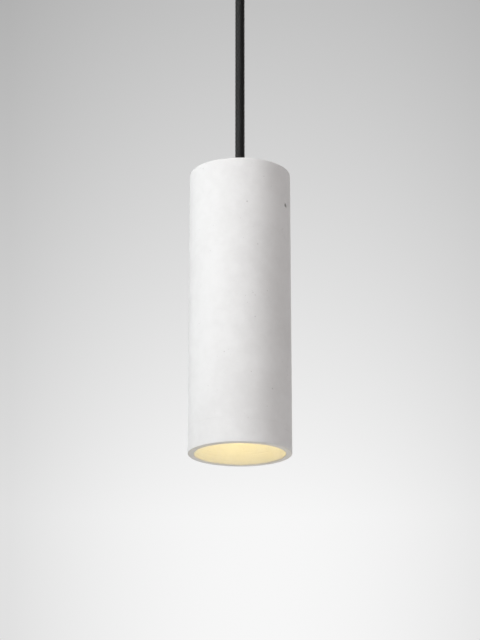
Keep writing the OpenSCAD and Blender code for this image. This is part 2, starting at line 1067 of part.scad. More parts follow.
// Hollow housing with the outline of a reflector lamp
module lamp_housing() {
    top_z = lamp_top_z - lamp_base_h;
    ring_z = face_z + lamp_ring_h;
    waist_z = ring_z + 12;
    waist_r = lamp_r - 5;
    mouth_r = lens_r + hole_gap;
    seat_r = lamp_r - 3 * lamp_shell;
    color("#eeeeec")
        in_shade()
            rotate_extrude()
                polygon([
                    [mouth_r, face_z], [lamp_r, face_z], [lamp_r, ring_z],
                    [waist_r, waist_z], [lamp_neck_r, top_z],
                    [lamp_neck_r - lamp_shell, top_z], [waist_r - lamp_shell, waist_z - 1],
                    [seat_r, ring_z], [seat_r, face_z + lens_t], [mouth_r, face_z + lens_t]
                ]);
}

// Frosted front lens, set in the housing's mouth
module lamp_lens() {
    inset = 0.3;
    color("#fff3cf")
        in_shade()
            rod(lens_r, face_z + inset, face_z + lens_t);
}

// Round circuit board with its light sources on the lower side
module lamp_led_board() {
    color("#f4f4f0")
        in_shade() {
            rod(board_r, board_z, board_z + board_t);
            for (k = [0 : led_count - 1])
                rotate(360 * k / led_count)
                    slab([led_ring_r - led_size / 2, -led_size / 2, board_z - led_t],
                        [led_ring_r + led_size / 2, led_size / 2, board_z]);
        }
}

// Driver board with its capacitor and coil, upright in the lamp's neck
module lamp_driver_board() {
    half_t = 0.5;
    capacitor_z = driver_z + 6;
    capacitor_r = 4;
    capacitor_len = 7;
    coil_low = [-5, half_t, driver_z + 12];
    coil_high = [3, 6, driver_z + 19];
    color("#3d7a4a")
        in_shade() {
            slab([-driver_w / 2, -half_t, driver_z], [driver_w / 2, half_t, driver_z + driver_h]);
            translate([0, half_t, capacitor_z])
                rotate([-90, 0, 0])
                    cylinder(r = capacitor_r, h = capacitor_len);
            slab(coil_low, coil_high);
        }
}

ceiling_bracket();
canopy();
canopy_side_screws();
grip_tube();
grip_locknut();
grip_toothed_washer();
grip_body();
grip_collet();
grip_cap();
mains_terminal_body();
mains_terminal_inserts();
mains_terminal_screws();
mains_terminal_fixings();
earth_screw();
earth_ring();
earth_jumper();
cable_tail_top();
top_wire_live();
top_wire_neutral();
top_wire_earth();
cord_neck();
cord_link_top();
cord_drop();
cord_link_bottom();
cord_foot();
cable_tail_bottom();
shade();
collar();
collar_washer();
hanger_tube();
inner_rubber_washer();
inner_steel_washer();
inner_nut();
hanger_strap();
strap_locknut();
strain_relief();
strain_relief_screw();
lower_terminal_body();
lower_terminal_inserts();
lower_terminal_screws();
lower_wire_live();
lower_wire_neutral();
lower_wire_earth();
holder_lead_live();
holder_lead_neutral();
strap_earth_lead();
strap_earth_ring();
strap_earth_screw();
lampholder_body();
lampholder_cover();
lampholder_contacts();
lampholder_screws();
lampholder_nuts();
lamp_base();
lamp_pins();
lamp_housing();
lamp_lens();
lamp_led_board();
lamp_driver_board();
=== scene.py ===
"""Looks for the pendant ceiling light: camera, cords, detailed pieces, materials, stage and light.

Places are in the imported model's frame. The ceiling plane is z = 0, the light hangs along -Z and
its front looks along -Y. The camera, the cable and the studio are in metres. The outlines, shapes
and boxes of single pieces are in millimetres, and so is every name that ends in _mm or _MM.
"""
import json
import random
from math import atan2, ceil, copysign, cos, floor, hypot, inf, pi, radians, sin, sqrt, tan

import bmesh
import bpy
from mathutils import Matrix, Vector, noise
from mathutils.kdtree import KDTree

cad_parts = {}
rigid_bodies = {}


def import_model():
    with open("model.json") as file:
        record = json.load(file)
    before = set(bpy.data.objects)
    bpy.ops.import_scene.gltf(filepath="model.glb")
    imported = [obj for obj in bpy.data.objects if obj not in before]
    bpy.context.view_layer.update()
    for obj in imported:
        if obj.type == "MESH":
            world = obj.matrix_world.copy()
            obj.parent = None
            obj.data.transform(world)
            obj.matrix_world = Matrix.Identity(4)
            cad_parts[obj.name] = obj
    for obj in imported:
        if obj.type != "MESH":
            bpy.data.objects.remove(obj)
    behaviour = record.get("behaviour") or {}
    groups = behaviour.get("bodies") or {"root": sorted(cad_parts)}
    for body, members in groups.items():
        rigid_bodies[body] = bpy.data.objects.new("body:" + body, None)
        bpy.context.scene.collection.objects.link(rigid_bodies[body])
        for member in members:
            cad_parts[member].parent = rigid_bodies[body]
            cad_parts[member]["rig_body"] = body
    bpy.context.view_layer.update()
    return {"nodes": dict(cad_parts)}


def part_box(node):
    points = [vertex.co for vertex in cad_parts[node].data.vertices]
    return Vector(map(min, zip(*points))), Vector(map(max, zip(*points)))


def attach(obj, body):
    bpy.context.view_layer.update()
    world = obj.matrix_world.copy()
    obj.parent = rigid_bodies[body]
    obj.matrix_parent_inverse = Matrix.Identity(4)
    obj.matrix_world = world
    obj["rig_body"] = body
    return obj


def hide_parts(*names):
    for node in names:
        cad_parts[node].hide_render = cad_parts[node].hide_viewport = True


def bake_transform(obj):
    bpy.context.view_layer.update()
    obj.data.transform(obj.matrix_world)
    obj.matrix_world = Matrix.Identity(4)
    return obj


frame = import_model()
scene = bpy.context.scene

MM = 0.001
TURN = 2 * pi


# ---------------- camera

# The camera stands in front of the shade and below its lower rim, and looks up at it.
CAMERA_AWAY = 1.266
CAMERA_BELOW_RIM = 0.312
CAMERA_PITCH = radians(17.80)
CAMERA_LENS_MM = 109.4
shade_low, shade_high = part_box("shade")

camera_data = bpy.data.cameras.new("camera")
camera_data.sensor_width = 36.0
camera_data.lens = CAMERA_LENS_MM
camera_data.clip_start = 0.01
camera_data.clip_end = 60.0
camera = bpy.data.objects.new("camera", camera_data)
camera.location = (0.0, -CAMERA_AWAY, shade_low.z - CAMERA_BELOW_RIM)
camera.rotation_euler = (pi / 2 + CAMERA_PITCH, 0.0, 0.0)
scene.collection.objects.link(camera)
scene.camera = camera
scene.view_settings.view_transform = "Standard"


# ---------------- node trees


class Nodes:
    """A node tree. Each call adds a node and returns it, or returns what comes out of it."""

    def __init__(self, tree):
        self.tree = tree
        self.tree.nodes.clear()

    def add(self, kind, inputs=None, **settings):
        """A node with its settings, and a value or a link for each named input."""
        node = self.tree.nodes.new("ShaderNode" + kind)
        for key, value in settings.items():
            setattr(node, key, value)
        for key, value in (inputs or {}).items():
            self.feed(node.inputs[key], value)
        return node

    def feed(self, socket, value):
        if isinstance(value, bpy.types.NodeSocket):
            self.tree.links.new(value, socket)
        else:
            socket.default_value = value

    def split(self, vector):
        """The X, Y and Z of a vector."""
        return self.add("SeparateXYZ", {"Vector": vector}).outputs

    def math(self, operation, a, b=0.0):
        return self.add("Math", {0: a, 1: b}, operation=operation).outputs[0]

    def times(self, a, b):
        return self.math("MULTIPLY", a, b)

    def hypot(self, a, b):
        """The square root of the sum of two squares."""
        squares = [self.math("POWER", side, 2.0) for side in (a, b)]
        return self.math("SQRT", self.math("ADD", *squares))

    def span(self, value, low, high, to_low=0.0, to_high=1.0, smooth=True):
        """The value carried from one range to another, and held at its ends."""
        kind = "SMOOTHSTEP" if smooth else "LINEAR"
        inputs = {"Value": value, "From Min": low, "From Max": high, "To Min": to_low,
                  "To Max": to_high}
        return self.add("MapRange", inputs, interpolation_type=kind).outputs["Result"]


class Shader(Nodes):
    """The node tree of one material, round its surface shader."""

    def __init__(self, name):
        self.material = bpy.data.materials.new(name)
        self.material.use_nodes = True
        super().__init__(self.material.node_tree)
        self.surface = self.add("BsdfPrincipled")
        self.add("OutputMaterial", {"Surface": self.surface.outputs[0]})

    def finish(self, **values):
        """The material, with these values or links for its surface: underscores are spaces."""
        for key, value in values.items():
            self.feed(self.surface.inputs[key.replace("_", " ")], value)
        return self.material

    def place(self, stretch=(1, 1, 1)):
        """The point on the piece, in metres at rest, stretched along the axes."""
        where = self.add("TexCoord").outputs["Object"]
        return self.add("Mapping", {"Vector": where, "Scale": stretch}).outputs["Vector"]

    def noise(self, where, scale, detail=3.0, roughness=0.5):
        """A noise value from 0 to 1. The scale is in features for each metre."""
        inputs = {"Vector": where, "Scale": scale, "Detail": detail, "Roughness": roughness}
        return self.add("TexNoise", inputs).outputs["Fac"]

    def cells(self, where, scale):
        """The distance to the nearest of many scattered points."""
        return self.add("TexVoronoi", {"Vector": where, "Scale": scale}).outputs["Distance"]

    def mix(self, share, first, second):
        """The first colour where the share is 0, and the second where it is 1."""
        node = self.add("Mix", data_type="RGBA")
        self.feed(node.inputs[0], share)
        for index, colour in ((6, first), (7, second)):
            if not isinstance(colour, bpy.types.NodeSocket):
                colour = (*colour, 1.0)
            self.feed(node.inputs[index], colour)
        return node.outputs[2]

    def bump(self, height, depth, under=None):
        """Raises the surface by height times depth (metres), on top of another bump."""
        inputs = {"Height": height, "Distance": depth, "Strength": 1.0}
        if under is not None:
            inputs["Normal"] = under
        return self.add("Bump", inputs).outputs["Normal"]


def grained(name, dark, light, gloss, grain=1500.0, grain_depth_mm=0.03, **constants):
    """A surface whose colour drifts between two tones, with an uneven gloss and a fine grain.

    gloss is the lowest and highest roughness, and grain is in features for each metre.
    """
    shader = Shader(name)
    where = shader.place()
    drift = shader.span(shader.noise(where, 60.0, 4.0), 0.3, 0.7)
    fine = shader.noise(where, grain, 2.0)
    return shader.finish(
        Base_Color=shader.mix(drift, dark, light),
        Roughness=shader.span(shader.math("ADD", drift, fine), 0.6, 1.4, *gloss),
        Normal=shader.bump(fine, grain_depth_mm * MM),
        **constants,
    )


def brushed(name, dark, light, gloss, squeeze=(1, 1, 30)):
    """A metal with fine lines: the noise is squeezed along an axis, so it draws long scratches."""
    shader = Shader(name)
    streaks = shader.noise(shader.place(squeeze), 2500.0 / max(squeeze), 4.0, 0.6)
    drift = shader.noise(shader.place(), 140.0, 3.0)
    return shader.finish(
        Base_Color=shader.mix(shader.span(drift, 0.3, 0.7), dark, light),
        Roughness=shader.span(shader.math("ADD", drift, streaks), 0.7, 1.3, *gloss),
        Normal=shader.bump(streaks, 0.004 * MM),
        Metallic=1.0,
    )


# ---------------- mesh building


def new_object(name, mesh, material, smooth_angle=40.0):
    """An object from a bmesh, smooth where its faces meet at less than the given angle."""
    data = bpy.data.meshes.new(name)
    bmesh.ops.recalc_face_normals(mesh, faces=mesh.faces)
    sharp = radians(smooth_angle)
    for face in mesh.faces:
        face.smooth = True
    for edge in mesh.edges:
        edge.smooth = len(edge.link_faces) == 2 and edge.calc_face_angle(0.0) < sharp
    mesh.to_mesh(data)
    mesh.free()
    data.materials.append(material)
    made = bpy.data.objects.new(name, data)
    scene.collection.objects.link(made)
    return made


def rounded(corners, steps=4):
    """A closed outline with its corners rounded: each corner is (r, z, radius of its round)."""
    outline = []
    count = len(corners)
    for index, (r, z, radius) in enumerate(corners):
        here = Vector((r, z))
        if radius <= 0:
            outline.append((r, z))
            continue
        before = (Vector(corners[index - 1][:2]) - here).normalized()
        after = (Vector(corners[(index + 1) % count][:2]) - here).normalized()
        half = before.angle(after) / 2
        reach = radius / tan(half)
        centre = here + (before + after).normalized() * radius / sin(half)
        start = here + before * reach - centre
        end = here + after * reach - centre
        for step in range(steps + 1):
            spoke = start.slerp(end, step / steps).normalized() * radius
            outline.append(tuple(centre + spoke))
    return outline


def fine_outline(outline, longest):
    """The closed outline with its long stretches cut into steps no longer than given."""
    fine = []
    for index, (r, z) in enumerate(outline):
        after = outline[(index + 1) % len(outline)]
        length = hypot(after[0] - r, after[1] - z)
        steps = max(1, ceil(length / longest))
        for step in range(steps):
            share = step / steps
            fine.append((r + (after[0] - r) * share, z + (after[1] - z) * share))
    return fine


def join_rings(mesh, upper, lower):
    """Quads between two rings of the same count, or triangles to a pole."""
    count = max(len(upper), len(lower))
    if count == 1:
        return
    for i in range(count):
        corners = [upper[i % len(upper)], upper[(i + 1) % len(upper)],
                   lower[(i + 1) % len(lower)], lower[i % len(lower)]]
        mesh.faces.new(list(dict.fromkeys(corners)))


def lathe(outline, segments, shape=None, closed=True):
    """A bmesh turned round Z from an outline of (r, z). A point on the axis becomes a pole.

    shape(turn, r, z) gives the radius of each point, for flutes, threads and flats.
    """
    mesh = bmesh.new()
    rings = []
    for r, z in outline:
        if r == 0:
            rings.append([mesh.verts.new((0.0, 0.0, z * MM))])
            continue
        ring = []
        for i in range(segments):
            turn = i / segments
            reach = (shape(turn, r, z) if shape else r) * MM
            place = (reach * cos(TURN * turn), reach * sin(TURN * turn), z * MM)
            ring.append(mesh.verts.new(place))
        rings.append(ring)
    if closed:
        rings.append(rings[0])
    for upper, lower in zip(rings, rings[1:]):
        join_rings(mesh, upper, lower)
    return mesh


def ring_bar(r_out, r_in, low, high, edge, steps=3):
    """Outline of a ring with rounded edges."""
    corners = [(r_in, low), (r_out, low), (r_out, high), (r_in, high)]
    return rounded([(*corner, edge) for corner in corners], steps)


def add_to(mesh, part, move=Matrix()):
    """Adds one bmesh to another, moved by a matrix."""
    data = bpy.data.meshes.new("part")
    part.transform(move)
    part.to_mesh(data)
    part.free()
    mesh.from_mesh(data)
    bpy.data.meshes.remove(data)


def soft_box(low, high, edge):
    """A bmesh of a box between two corners, with its edges rounded."""
    mesh = bmesh.new()
    bmesh.ops.create_cube(mesh, size=1.0)
    low, high = Vector(low), Vector(high)
    for vert in mesh.verts:
        vert.co = Vector((low[i] + (vert.co[i] + 0.5) * (high[i] - low[i]) for i in range(3))) * MM
    bmesh.ops.bevel(mesh, geom=list(mesh.edges), offset=edge * MM, segments=3, profile=0.5,
                    affect="EDGES")
    return mesh


def slot_of(node):
    """The name of a CAD node's material slot."""
    return frame["nodes"][node].data.materials[0].name.split(".")[0]


def body_of(node):
    """The name of the body that a CAD node rides on."""
    return frame["nodes"][node]["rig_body"]


def stand_for(piece, node):
    """Puts a piece in a CAD node's place and on that node's body, and hides the node."""
    slot_of(node)
    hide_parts(node)
    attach(piece, body_of(node))


# ---------------- cords

# Middle line of the free cable, as the CAD source has it: grip mouth, two upper bends, two
# lower bends, collar.
CORD_ROUTE = [
    (0, 0, -0.045), (0, 0, -0.057), (0, 0, -0.077), (0, 0, -0.105),
    (0, 0, -0.135), (0, 0, -0.170), (0, 0, -0.184), (0, 0, -0.190),
]
UPPER_BENDS = (CORD_ROUTE[1][2], CORD_ROUTE[2][2])
LOWER_BENDS = (CORD_ROUTE[5][2], CORD_ROUTE[6][2])
CABLE_D = 0.0066

# The textile braid: strands wind both ways and pass over and under each other.
BRAID_STRANDS = 8
BRAID_PITCH = 26.4 * MM
BRAID_DEPTH = 0.26 * MM
BRAID_PROUD = 0.11 * MM
BRAID_SIDES = 96
BRAID_STEP = 0.22 * MM
# A strand's mean height, and how far it rises over and dips under the others. Their sum is 1.
STRAND_MEAN = 0.58
STRAND_WAVE = 0.42
STRAND_FILAMENTS = 5
STRANDS_UV = "strand"


def crown(across):
    """How high a strand stands at a place across it: 1 in its middle, 0 at its edges."""
    offset = 2 * (across - floor(across)) - 1
    return sqrt(max(0.0, 1 - offset * offset))


def crossing(turn, z):
    """The two strand coordinates at a place on the cable, and which strand lies on top."""
    right = BRAID_STRANDS * (turn - z / BRAID_PITCH)
    left = BRAID_STRANDS * (turn + z / BRAID_PITCH)
    side = 1 if (floor(right) + floor(left)) % 2 == 0 else -1
    return right, left, side


def braid_height(turn, z):
    """Height of the braid's surface, from 0 between strands to 1 on a strand's top."""
    right, left, side = crossing(turn, z)
    over = STRAND_WAVE * side
    rise_right = STRAND_MEAN + over * sin(pi * (left - floor(left)))
    rise_left = STRAND_MEAN - over * sin(pi * (right - floor(right)))
    return max(crown(right) * rise_right, crown(left) * rise_left)


def braided_tube(name, high, low):
    """A closed braided tube down the Z axis, with each face's place on its strand as its UV."""
    mesh = bmesh.new()
    steps = max(2, round((high - low) / BRAID_STEP))
    rings = []
    for step in range(steps + 1):
        z = high + (low - high) * step / steps
        ring = []
        for side in range(BRAID_SIDES):
            turn = side / BRAID_SIDES
            r = CABLE_D / 2 + BRAID_PROUD - BRAID_DEPTH * (1 - braid_height(turn, z))
            ring.append(mesh.verts.new((r * cos(TURN * turn), r * sin(TURN * turn), z)))
        rings.append(ring)
    for upper, lower in zip(rings, rings[1:]):
        join_rings(mesh, upper, lower)
    for ring, z in ((rings[0], high), (rings[-1], low)):
        join_rings(mesh, ring, [mesh.verts.new((0, 0, z))])
    uv = mesh.loops.layers.uv.new(STRANDS_UV)
    for face in mesh.faces:
        centre = face.calc_center_median()
        mid_turn = atan2(centre.y, centre.x) / TURN
        mid_right, mid_left, on_top = crossing(mid_turn, centre.z)
        for loop in face.loops:
            turn = atan2(loop.vert.co.y, loop.vert.co.x) / TURN
            turn += round(mid_turn - turn)
            right, left, _ = crossing(turn, loop.vert.co.z)
            if on_top == 1:
                loop[uv].uv = (right - floor(mid_right), left)
            else:
                loop[uv].uv = (left - floor(mid_left), right)
    return new_object(name, mesh, cable_braid, 80.0)


def braid_material():
    """Black textile: fine filaments along each strand, a lighter tone on the filaments' crests."""
    shader = Shader("cable_braid")
    strand = shader.add("UVMap", uv_map=STRANDS_UV).outputs["UV"]
    across = shader.split(strand)["X"]
    filaments = shader.math("SINE", shader.times(across, TURN * STRAND_FILAMENTS))
    fuzz = shader.noise(shader.place(), 9000.0, 2.0)
    patch = shader.noise(shader.place(), 220.0, 3.0)
    lift = shader.span(filaments, -1.0, 1.0)
    tone = shader.times(shader.math("ADD", lift, fuzz), shader.span(patch, 0.3, 0.7, 0.35, 0.6))
    return shader.finish(
        Base_Color=shader.mix(tone, (0.003, 0.003, 0.0034), (0.012, 0.012, 0.012)),
        Roughness=shader.span(fuzz, 0.3, 0.7, 0.36, 0.50),
        Normal=shader.bump(shader.math("ADD", filaments, fuzz), 0.05 * MM),
    )


cable_braid = braid_material()


def cord_piece(name, high, low, replaced):
    """One stretch of the cable over the given heights, in place of the CAD nodes it replaces."""
    piece = braided_tube(name, high, low)
    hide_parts(*replaced)
    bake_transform(piece)


# Seams between the stretches lie where both sides ride on the same body. The outermost two are
# inside the grip, and 42 mm below the lowest seam in the tube through the shade's top.
GRIP_INSIDE = -0.025
UPPER_SEAM = (UPPER_BENDS[0] + UPPER_BENDS[1]) / 2
MIDDLE_SEAM = (UPPER_BENDS[1] + LOWER_BENDS[0]) / 2
LOWER_SEAM = (LOWER_BENDS[0] + LOWER_BENDS[1]) / 2
TUBE_INSIDE = LOWER_SEAM - 0.042

cord_piece("cable_top", GRIP_INSIDE, UPPER_SEAM,
           ["cord_neck"])
cord_piece("cable_upper", UPPER_SEAM, MIDDLE_SEAM,
           ["cord_link_top"])
cord_piece("cable_middle", MIDDLE_SEAM, LOWER_SEAM,
           ["cord_drop"])
cord_piece("cable_foot", LOWER_SEAM, TUBE_INSIDE,
           ["cord_link_bottom", "cord_foot"])


# ---------------- shade

# How dark a point on the shade is painted in an air hole, kept with the mesh: painted shade in the
# hole, with its darker cement paste.
PIT_SHADE_AND_PASTE = "pit_shade_and_paste"
# Heights above the lower rim between which the mould's lines fade, and the browner underside fades:
# painted warm spill of the lamp on the rim, with dust on the raw edge.
MOULD_LINES_FADE = (0.004, 0.026)
SPILL_AND_DUST_FADE = (0.0002, 0.0008)


def concrete_material():
    """Off-white cast concrete: cloudy tones, sand grain, pinholes and air holes darkened with painted
    shade (the air holes also with their darker cement paste), a browner underside of painted warm lamp
    spill with dust, and faint mould lines just above the lower rim."""
    shader = Shader("concrete")
    where = shader.place()
    clouds = shader.noise(where, 26.0, 5.0, 0.6)
    spots = shader.noise(where, 160.0, 4.0, 0.6)
    sand = shader.noise(where, 2600.0, 3.0, 0.6)
    height = shader.math("SUBTRACT", shader.split(where)["Z"], shade_low.z)
    ring_lines = shader.noise(shader.place((0.02, 0.02, 1.0)), 420.0, 3.0, 0.7)
    near_rim = shader.span(height, *MOULD_LINES_FADE, 1.0, 0.0)
    lines = shader.times(shader.span(ring_lines, 0.56, 0.68), near_rim)

    hole_size = shader.span(shader.noise(where, 60.0, 2.0), 0.52, 0.75, 0.02, 0.16)
    holes = shader.math("LESS_THAN", shader.cells(where, 360.0), hole_size)

    pit_shade_and_paste = shader.add("Attribute", attribute_name=PIT_SHADE_AND_PASTE).outputs["Fac"]
    warm_spill_and_dust = shader.span(height, *SPILL_AND_DUST_FADE, 0.6, 0.0)

    tone = shader.math("ADD", shader.times(clouds, 0.65), shader.times(spots, 0.35))
    base = shader.mix(shader.span(tone, 0.32, 0.66), (0.792, 0.788, 0.787), (0.848, 0.846, 0.846))
    for share, tint in (
            (shader.times(lines, 0.16), (0.50, 0.48, 0.45)),
            (shader.span(sand, 0.62, 0.78, 0.0, 0.16), (0.47, 0.45, 0.42)),
            # Pinholes painted darker: painted shade in them.
            (shader.times(holes, 0.45), (0.36, 0.34, 0.31)),
            # Browner underside: painted warm light from the lamp spilling on the rim, with dust on the
            # raw cast edge.
            (warm_spill_and_dust, (0.73, 0.70, 0.63)),
            # Air holes painted near black: painted shade in the hole, with its darker cement paste.
            (pit_shade_and_paste, (0.10, 0.095, 0.09))):
        base = shader.mix(share, base, tint)

    relief = shader.bump(shader.math("SUBTRACT", sand, holes), 0.05 * MM)
    relief = shader.bump(shader.math("SUBTRACT", spots, lines), 0.10 * MM, relief)
    return shader.finish(
        Base_Color=base,
        Roughness=shader.span(spots, 0.3, 0.7, 0.80, 0.94),
        Normal=relief,
        Specular_IOR_Level=0.25,
        Diffuse_Roughness=0.25,
    )


SHADE_R_MM = 35.0
SHADE_INNER_R_MM = 30.6
SHADE_HOLE_R_MM = 5.2
SHADE_CEILING_T_MM = 12.0
SHADE_SEGMENTS = 216
SHADE_STEP_MM = 1.25
SHADE_WORN_MM = 0.7

# Air holes at the surface that are large enough to see, each with its angle from the front
# towards +X (degrees), its depth below the top edge, its radius and its depth (mm).
SHADE_PITS = [
    (64, 27.6, 1.6, 1.4),
    (8, 32.0, 0.50, 0.32),
    (20, 62.1, 0.45, 0.25),
    (17, 113.7, 0.50, 0.25),
    (38, 162.0, 0.50, 0.30),
    (28, 12.3, 0.45, 0.25),
    (38, 18.2, 0.40, 0.20),
]
PIT_REACH_MM = 2.0
# Small air holes spread over the sides and the back of the wall.
random.seed(7)
for _ in range(46):
    SHADE_PITS.append((random.uniform(75, 285), random.uniform(6, 194),
                       random.uniform(0.25, 0.60), random.uniform(0.15, 0.40)))


def pit_centre(angle, below):
    """The middle of an air hole on the shade's outer wall."""
    spin = radians(angle)
    r = SHADE_R_MM * MM
    return Vector((r * sin(spin), -r * cos(spin), shade_high.z - below * MM))


def cut_pits(mesh):
    """Makes the wall's mesh finer round each air hole, then presses the hole in.

    Each cut leaves its new points a little inside the round wall, so they are pushed out to it.
    """
    wall_r = SHADE_R_MM * MM
    centres = KDTree(len(SHADE_PITS))
    for index, (angle, below, _, _) in enumerate(SHADE_PITS):
        centres.insert(pit_centre(angle, below), index)
    centres.balance()
    for level in range(3):
        edges = set()
        for vert in mesh.verts:
            _, index, distance = centres.find(vert.co)
            reach = SHADE_PITS[index][2] * (2.6 - 0.5 * level) + SHADE_STEP_MM / 2 ** level
            if distance < reach * MM:
                edges.update(vert.link_edges)
        bmesh.ops.subdivide_edges(mesh, edges=list(edges), cuts=1, use_grid_fill=True)
        for vert in mesh.verts:
            r = hypot(vert.co.x, vert.co.y)
            if 0 < abs(r - wall_r) < 0.05 * MM:
                vert.co.x *= wall_r / r
                vert.co.y *= wall_r / r
    pit_shade_and_paste = mesh.verts.layers.float.new(PIT_SHADE_AND_PASTE)
    for vert in mesh.verts:
        place = vert.co.copy()
        for centre, index, distance in centres.find_range(place, PIT_REACH_MM * MM):
            radius_mm, depth_mm = SHADE_PITS[index][2:]
            ragged = 1 + 0.35 * noise.noise(place * 1400.0)
            share = distance / (radius_mm * MM * ragged)
            if share < 1:
                out = Vector((centre.x, centre.y, 0)).normalized()
                dip = sqrt(1 - share ** 2)
                vert.co -= out * depth_mm * MM * dip
                # Deeper in a hole a point is painted darker: painted shade, with the darker paste.
                vert[pit_shade_and_paste] = min(1.0, depth_mm) * dip


def chip_edges(mesh):
    """Wears the shade's outer edges by about a tenth of a millimetre, with a few small chips."""
    for edge_z in (shade_low.z, shade_high.z):
        inward = 1 if edge_z == shade_low.z else -1
        for vert in mesh.verts:
            r = hypot(vert.co.x, vert.co.y)
            gap = hypot(r - SHADE_R_MM * MM, vert.co.z - edge_z)
            if gap > SHADE_WORN_MM * MM:
                continue
            spoke = Vector((vert.co.x, vert.co.y, 0)).normalized()
            wear = 0.10 + 0.10 * noise.noise(spoke * 9 + Vector((0, 0, edge_z * 90)))
            chip = max(0.0, noise.noise(spoke * 31 + Vector((0, 0, edge_z * 50))) - 0.42) * 1.6
            amount = (wear + chip) * MM * (1 - gap / (SHADE_WORN_MM * MM))
            vert.co -= spoke * amount
            vert.co.z += inward * amount


def build_shade():
    """The cast tube, closed on top but for the hole for the threaded tube."""
    low, high = shade_low.z / MM, shade_high.z / MM
    ceiling = high - SHADE_CEILING_T_MM
    corners = [
        (SHADE_R_MM, low, 0.5), (SHADE_R_MM, high, 0.6),
        (SHADE_HOLE_R_MM, high, 0.4), (SHADE_HOLE_R_MM, ceiling, 0.4),
        (SHADE_INNER_R_MM, ceiling, 2.5), (SHADE_INNER_R_MM, low, 0.5),
    ]
    outline = fine_outline(rounded(corners), SHADE_STEP_MM)
    mesh = lathe(outline, SHADE_SEGMENTS)
    cut_pits(mesh)
    chip_edges(mesh)
    shade = new_object("shade_cast", mesh, concrete_material(), 60.0)
    stand_for(shade, "shade")


build_shade()


# ---------------- materials of the other pieces

# The lamp's LEDs stand on a ring. The lens glows brightest over each one, and fades round it.
LED_COUNT = 6
LED_RING_MM = 12.0
LED_HALF_MM = 1.5
LED_GLOW_MM = (1.5, 8.5)
# Each insulated wire's place round it and along it (mm), kept with the mesh.
WRAP_UV = "wrap"


def lens_material():
    """Frosted, lit from behind: brighter over each LED, with a fine frosting."""
    shader = Shader("lamp_lens")
    where = shader.place()
    flat = shader.split(where)
    angle = shader.math("ARCTAN2", flat["Y"], flat["X"])
    away = shader.hypot(flat["X"], flat["Y"])
    sector = TURN / LED_COUNT
    folded = shader.math("MODULO", shader.math("ADD", angle, TURN + sector / 2), sector)
    aside = shader.math("SUBTRACT", folded, sector / 2)
    sideways = shader.times(away, shader.math("SINE", aside))
    ahead = shader.times(away, shader.math("COSINE", aside))
    outward = shader.math("SUBTRACT", ahead, LED_RING_MM * MM)
    near, far = LED_GLOW_MM
    glow = shader.span(shader.hypot(sideways, outward), near * MM, far * MM, 1.0, 0.0)
    frost = shader.noise(where, 3500.0, 2.0)
    return shader.finish(
        Base_Color=shader.mix(frost, (0.88, 0.84, 0.74), (0.95, 0.91, 0.82)),
        Roughness=shader.span(frost, 0.3, 0.7, 0.45, 0.6),
        Normal=shader.bump(frost, 0.03 * MM),
        Emission_Color=shader.mix(glow, (1.0, 0.755, 0.23), (1.0, 0.79, 0.262)),
        Emission_Strength=shader.span(glow, 0.0, 1.0, 1.2, 10.5, smooth=False),
    )


def wrap_parts(shader):
    """Where a point lies on its wire: the share of the way round, and millimetres along."""
    return shader.split(shader.add("UVMap", uv_map=WRAP_UV).outputs["UV"])


def striped_material():
    """Green insulation with a yellow stripe down each side."""
    shader = Shader("earth_insulation")
    parts = wrap_parts(shader)
    wave = shader.math("COSINE", shader.times(parts["X"], 2 * TURN))
    drift = shader.noise(shader.place(), 700.0, 2.0)
    stripe = shader.span(wave, 0.30, 0.42)
    return shader.finish(
        Base_Color=shader.mix(stripe, (0.045, 0.20, 0.03), (0.68, 0.55, 0.03)),
        Roughness=shader.span(drift, 0.3, 0.7, 0.32, 0.44),
        Normal=shader.bump(drift, 0.02 * MM),
    )


def woven_material():
    """Heatproof glass sleeve: a fine diagonal weave round the wire."""
    shader = Shader("glass_sleeve")
    parts = wrap_parts(shader)
    around = shader.times(parts["X"], TURN * 10)
    along = shader.times(parts["Y"], TURN * 1.1)
    one = shader.math("SINE", shader.math("ADD", around, along))
    two = shader.math("SINE", shader.math("SUBTRACT", around, along))
    weave = shader.math("MAXIMUM", one, two)
    drift = shader.noise(shader.place(), 300.0, 3.0)
    tone = shader.span(shader.math("ADD", shader.times(weave, 0.4), drift), 0.0, 1.0)
    return shader.finish(
        Base_Color=shader.mix(tone, (0.46, 0.42, 0.33), (0.78, 0.75, 0.66)),
        Roughness=shader.span(drift, 0.3, 0.7, 0.60, 0.80),
        Normal=shader.bump(weave, 0.10 * MM),
    )


